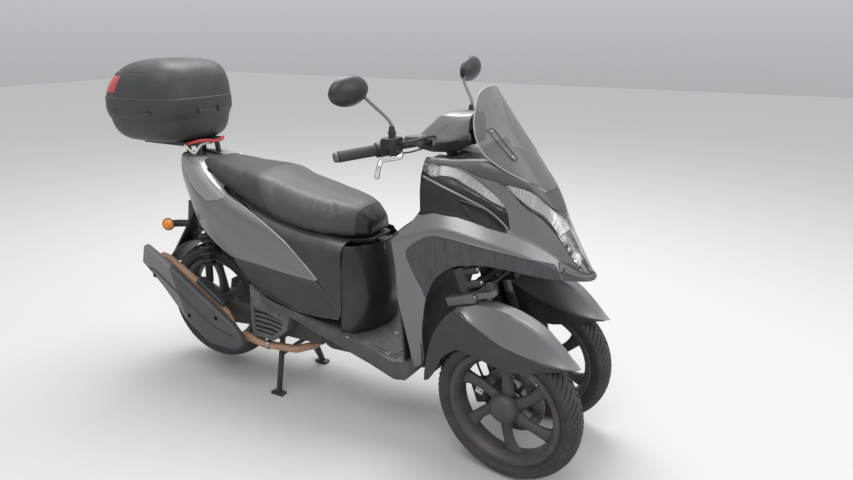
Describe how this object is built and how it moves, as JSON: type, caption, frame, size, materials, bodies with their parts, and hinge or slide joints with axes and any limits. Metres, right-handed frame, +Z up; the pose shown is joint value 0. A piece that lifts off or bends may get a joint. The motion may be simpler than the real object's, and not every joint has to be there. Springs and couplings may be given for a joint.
{
  "type": "reverse trike",
  "caption": "Leaning reverse trike scooter on its centre stand, with a stepped seat, low screen and rear top case.",
  "frame": {"origin": "on the ground, at the centre of the vehicle's box seen from above", "axes": "+X forward, +Y to the rider's left, +Z up"},
  "size_m": [1.994, 0.8086, 1.2885],
  "materials": {
    "panel_grey": "satin metallic",
    "panel_dark": "satin",
    "panel_black": "gloss",
    "floor_plastic": "moulded grain",
    "screen": "hazy, scratched",
    "lens_clear": "clear, slightly yellowed",
    "lens_amber": "ribbed",
    "lens_red": "ribbed",
    "frame_steel": "satin black",
    "cast_metal": "dull cast",
    "engine_metal": "dirty cast",
    "rim_paint": "satin, dusty",
    "tyre_rubber": "worn, dusty",
    "disc_steel": "ground",
    "exhaust_steel": "rusty brown",
    "guard_plastic": "dusty",
    "shock_steel": "satin black",
    "seat_vinyl": "grained vinyl",
    "chrome_trim": "polished",
    "bar_steel": "satin black",
    "grip_rubber": "ribbed",
    "mirror_shell": "matt",
    "hose_rubber": "matt",
    "case_plastic": "fine grain",
    "strap_cloth": "woven elastic"
  },
  "bodies": {
    "chassis": {"frame": "frame_steel", "lean_linkage": "cast_metal", "engine_block": "engine_metal", "drive_case": "engine_metal", "swingarm": "engine_metal", "rear_shocks": "shock_steel", "radiator_cover": "panel_dark", "exhaust_pipe": "exhaust_steel", "muffler": "exhaust_steel", "muffler_guard": "guard_plastic", "rear_fender": "panel_dark", "tail_light": "lens_red", "rear_indicators": "lens_amber", "tail_cover": "panel_grey", "side_panels_upper": "panel_grey", "side_panels_lower": "panel_dark", "seat_side_covers": "panel_black", "pedestal": "panel_black", "under_seat_tub": "floor_plastic", "floorboard": "floor_plastic", "leg_shield": "panel_dark", "front_cowl": "panel_grey", "arch_lining": "floor_plastic", "headlamp": "lens_clear", "side_lamps": "lens_clear", "nose_lip": "panel_dark", "shoulder_panels": "panel_black", "screen_garnish": "panel_dark", "windscreen": "screen", "instrument_panel": "panel_black", "rear_carrier": "frame_steel", "top_case_base": "case_plastic", "luggage_strap": "strap_cloth"},
    "handlebar": {"handlebar": "bar_steel", "handlebar_cover": "panel_grey", "grips": "grip_rubber", "switch_pods": "panel_black", "brake_levers": "chrome_trim", "mirrors": "mirror_shell", "bar_hoses": "hose_rubber"},
    "tie_rod": {"tie_rod": "frame_steel"},
    "wheel_rear": {"rear_rim": "rim_paint", "rear_tyre": "tyre_rubber"},
    "centre_stand": {"centre_stand": "frame_steel"},
    "side_stand": {"side_stand": "frame_steel"},
    "seat": {"seat_cushion": "seat_vinyl", "seat_pan": "panel_dark"},
    "top_case_lid": {"top_case_lid": "case_plastic"},
    "fork_right": {"fork_right": "cast_metal", "front_fender_right": "panel_grey", "brake_caliper_right": "cast_metal"},
    "wheel_front_right": {"front_rim_right": "rim_paint", "front_tyre_right": "tyre_rubber", "brake_disc_right": "disc_steel"},
    "fork_left": {"fork_left": "cast_metal", "front_fender_left": "panel_grey", "brake_caliper_left": "cast_metal"},
    "wheel_front_left": {"front_rim_left": "rim_paint", "front_tyre_left": "tyre_rubber", "brake_disc_left": "disc_steel"}
  },
  "joints": [
    {"name": "steering", "type": "hinge", "parent": "chassis", "child": "handlebar", "pos_m": [0.47598, 0, 0.93969], "axis": [-0.342, 0, 0.9397], "range_deg": [-24.5, 41.5]},
    {"name": "tie_rod_pivot", "type": "hinge", "parent": "handlebar", "child": "tie_rod", "pos_m": [0.67933, -0.0133, 0.64124], "axis": [-0.342, 0, 0.9397], "range_deg": [-41.5, 24.5]},
    {"name": "knuckle_right", "type": "hinge", "parent": "chassis", "child": "fork_right", "pos_m": [0.58543, -0.193, 0.63899], "axis": [-0.342, 0, 0.9397], "range_deg": [-24.5, 41.5]},
    {"name": "wheel_front_right_spin", "type": "hinge", "parent": "fork_right", "child": "wheel_front_right", "pos_m": [0.74978, -0.19614, 0.24892], "axis": [0.1389, 0.989, 0.0506], "continuous": true},
    {"name": "knuckle_left", "type": "hinge", "parent": "chassis", "child": "fork_left", "pos_m": [0.58543, 0.193, 0.63899], "axis": [-0.342, 0, 0.9397], "range_deg": [-24.5, 41.5]},
    {"name": "wheel_front_left_spin", "type": "hinge", "parent": "fork_left", "child": "wheel_front_left", "pos_m": [0.74978, 0.18986, 0.24892], "axis": [0.1389, 0.989, 0.0506], "continuous": true},
    {"name": "wheel_rear_spin", "type": "hinge", "parent": "chassis", "child": "wheel_rear", "pos_m": [-0.6, 0, 0.279], "axis": [0, 1, 0], "continuous": true},
    {"name": "centre_stand_hinge", "type": "hinge", "parent": "chassis", "child": "centre_stand", "pos_m": [-0.232, 0, 0.222], "axis": [0, 1, 0], "range_deg": [0, 75]},
    {"name": "side_stand_hinge", "type": "hinge", "parent": "chassis", "child": "side_stand", "pos_m": [-0.03, 0.166, 0.226], "axis": [0, -1, 0], "range_deg": [0, 105]},
    {"name": "seat_hinge", "type": "hinge", "parent": "chassis", "child": "seat", "pos_m": [0.208, 0, 0.662], "axis": [0, 1, 0], "range_deg": [0, 60]},
    {"name": "top_case_hinge", "type": "hinge", "parent": "chassis", "child": "top_case_lid", "pos_m": [-0.579, 0, 1.091], "axis": [0, 1, 0], "range_deg": [0, 90]}
  ],
  "couplings": [
    {"joint": "tie_rod_pivot", "follows": "steering", "ratio": -1},
    {"joint": "knuckle_right", "follows": "steering", "ratio": 1},
    {"joint": "knuckle_left", "follows": "steering", "ratio": 1}
  ]
}
